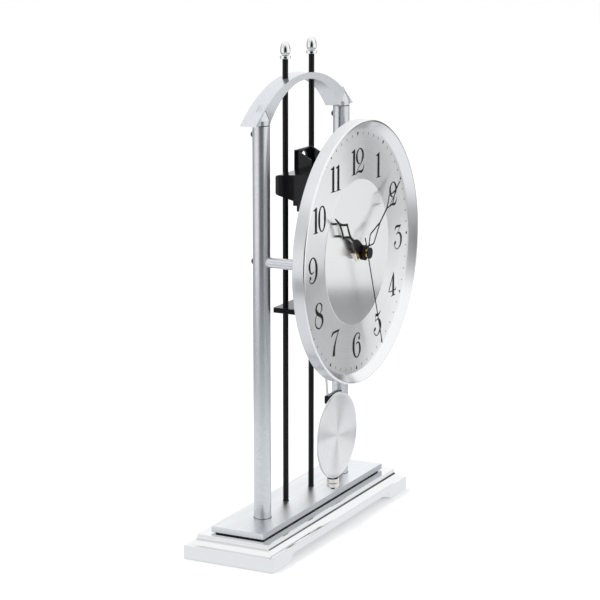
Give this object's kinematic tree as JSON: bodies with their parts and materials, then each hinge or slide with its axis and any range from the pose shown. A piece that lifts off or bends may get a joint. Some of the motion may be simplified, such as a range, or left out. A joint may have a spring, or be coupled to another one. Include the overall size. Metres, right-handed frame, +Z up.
{
  "type": "mantel clock",
  "caption": "Free-standing mantel clock with a round dial held forward of two columns under an arch, a quartz movement and a swinging pendulum on a stepped base.",
  "frame": {"origin": "on the table, below the middle of the whole clock", "axes": "+Z up, the dial faces -Y, +X to the right as seen from the front"},
  "size_m": [0.2182, 0.0892, 0.35],
  "materials": {
    "polished_aluminium": "satin polished cast aluminium",
    "brushed_aluminium": "aluminium brushed along its length",
    "silver_paint": "fine silver metallic lacquer",
    "satin_bezel": "satin anodised aluminium",
    "dial_silver": "circular brushed silver dial",
    "disc_silver": "fine circular brushed silver",
    "bob_silver": "spun aluminium",
    "chrome": "polished chrome plate",
    "nickel": "bright nickel plate",
    "dark_steel": "bronzed steel screws",
    "steel": "plain steel",
    "black_lacquer": "satin black lacquer",
    "hand_black": "semi-gloss black lacquer",
    "black_plastic": "gloss black moulded plastic",
    "shadow_black": "matt black plastic",
    "felt": "dark self-adhesive felt",
    "brass": "turned brass",
    "wheel_plastic": "natural acetal",
    "magnet": "sintered magnet",
    "board_green": "printed circuit board",
    "copper_winding": "enamelled copper winding",
    "ferrite": "ferrite with a copper winding",
    "cell_sleeve": "plain printed battery sleeve",
    "button_plastic": "light grey plastic"
  },
  "bodies": {
    "stand": {"foot_pads": "felt", "base_plinth": "polished_aluminium", "base_moulding": "polished_aluminium", "base_spacer": "shadow_black", "base_plate": "brushed_aluminium", "base_screws": "steel", "rod_nuts": "steel", "column_left": "silver_paint", "column_right": "silver_paint", "column_plugs": "steel", "arch": "silver_paint", "arch_screws": "dark_steel", "rod_left": "black_lacquer", "rod_right": "black_lacquer", "rod_finials": "chrome", "standoff_left": "silver_paint", "standoff_right": "silver_paint", "standoff_screws": "dark_steel", "dial_studs": "steel", "dial_bezel": "satin_bezel", "dial_plate": "dial_silver", "dial_centre_disc": "disc_silver", "centre_bush": "brass", "centre_nut": "nickel", "case_front": "black_plastic", "case_back": "black_plastic", "drive_housing": "black_plastic", "drive_cover": "black_plastic", "battery": "cell_sleeve", "battery_contacts": "nickel", "circuit_board": "board_green", "train_bridge": "wheel_plastic", "seconds_coil": "copper_winding", "seconds_stator": "steel", "minutes_coil": "copper_winding", "minutes_stator": "steel", "antenna": "ferrite", "pendulum_coil": "copper_winding", "pivot_pin": "steel"},
    "second_train": {"second_arbor": "wheel_plastic", "second_hand": "hand_black"},
    "seconds_wheel": {"seconds_wheel": "wheel_plastic"},
    "seconds_rotor": {"seconds_rotor": "magnet"},
    "minute_train": {"centre_wheel": "wheel_plastic", "minute_hand": "hand_black"},
    "third_wheel": {"third_wheel": "wheel_plastic"},
    "minutes_wheel": {"minutes_wheel": "wheel_plastic"},
    "minutes_rotor": {"minutes_rotor": "magnet"},
    "motion_wheel": {"motion_wheel": "wheel_plastic"},
    "hour_train": {"hour_wheel": "wheel_plastic", "hour_hand": "hand_black"},
    "set_button": {"set_button": "button_plastic"},
    "signal_button": {"signal_button": "button_plastic"},
    "pendulum": {"pendulum_hanger": "black_plastic", "pendulum_magnet": "magnet", "pendulum_wires": "steel", "wire_holder": "black_plastic"},
    "bob": {"bob": "bob_silver", "bob_guide": "shadow_black"},
    "rating_nut": {"rating_nuts": "nickel"}
  },
  "joints": [
    {"name": "second_spin", "type": "hinge", "parent": "stand", "child": "second_train", "pos_m": [0, -0.02813, 0.2036], "axis": [0, 1, 0], "continuous": true},
    {"name": "seconds_wheel_spin", "type": "hinge", "parent": "stand", "child": "seconds_wheel", "pos_m": [-0.00947, -0.02813, 0.20015], "axis": [0, 1, 0], "continuous": true},
    {"name": "seconds_rotor_spin", "type": "hinge", "parent": "stand", "child": "seconds_rotor", "pos_m": [-0.01727, -0.02813, 0.20465], "axis": [0, 1, 0], "continuous": true},
    {"name": "minute_spin", "type": "hinge", "parent": "stand", "child": "minute_train", "pos_m": [0, -0.02813, 0.2036], "axis": [0, 1, 0], "continuous": true},
    {"name": "third_wheel_spin", "type": "hinge", "parent": "stand", "child": "third_wheel", "pos_m": [0.00504, -0.02813, 0.19487], "axis": [0, 1, 0], "continuous": true},
    {"name": "minutes_wheel_spin", "type": "hinge", "parent": "stand", "child": "minutes_wheel", "pos_m": [0.00329, -0.02813, 0.18494], "axis": [0, 1, 0], "continuous": true},
    {"name": "minutes_rotor_spin", "type": "hinge", "parent": "stand", "child": "minutes_rotor", "pos_m": [-0.00517, -0.02813, 0.18187], "axis": [0, 1, 0], "continuous": true},
    {"name": "motion_wheel_spin", "type": "hinge", "parent": "stand", "child": "motion_wheel", "pos_m": [0, -0.02813, 0.2136], "axis": [0, 1, 0], "continuous": true},
    {"name": "hour_spin", "type": "hinge", "parent": "stand", "child": "hour_train", "pos_m": [0, -0.02813, 0.2036], "axis": [0, 1, 0], "continuous": true},
    {"name": "set_button_press", "type": "slide", "parent": "stand", "child": "set_button", "axis": [0, -1, 0], "range_m": [0, 0.001], "stiffness_N_per_m": 200},
    {"name": "signal_button_press", "type": "slide", "parent": "stand", "child": "signal_button", "axis": [0, -1, 0], "range_m": [0, 0.001], "stiffness_N_per_m": 200},
    {"name": "pendulum_swing", "type": "hinge", "parent": "stand", "child": "pendulum", "pos_m": [0, -0.01613, 0.252], "axis": [0, 1, 0], "range_deg": [-5, 5]},
    {"name": "bob_height", "type": "slide", "parent": "pendulum", "child": "bob", "axis": [0, 0, 1], "range_m": [-0.002, 0.003]},
    {"name": "rating_nut_turn", "type": "hinge", "parent": "bob", "child": "rating_nut", "pos_m": [0, -0.01613, 0.037], "axis": [0, 0, 1], "range_deg": [-1441, 2161]}
  ],
  "couplings": [
    {"joint": "seconds_wheel_spin", "follows": "second_spin", "ratio": -6},
    {"joint": "seconds_rotor_spin", "follows": "second_spin", "ratio": 30},
    {"joint": "third_wheel_spin", "follows": "minute_spin", "ratio": -6},
    {"joint": "minutes_wheel_spin", "follows": "minute_spin", "ratio": 36},
    {"joint": "minutes_rotor_spin", "follows": "minute_spin", "ratio": -180},
    {"joint": "motion_wheel_spin", "follows": "minute_spin", "ratio": -0.33333},
    {"joint": "hour_spin", "follows": "minute_spin", "ratio": 0.083333},
    {"joint": "rating_nut_turn", "follows": "bob_height", "rad_per_m": 12566}
  ]
}
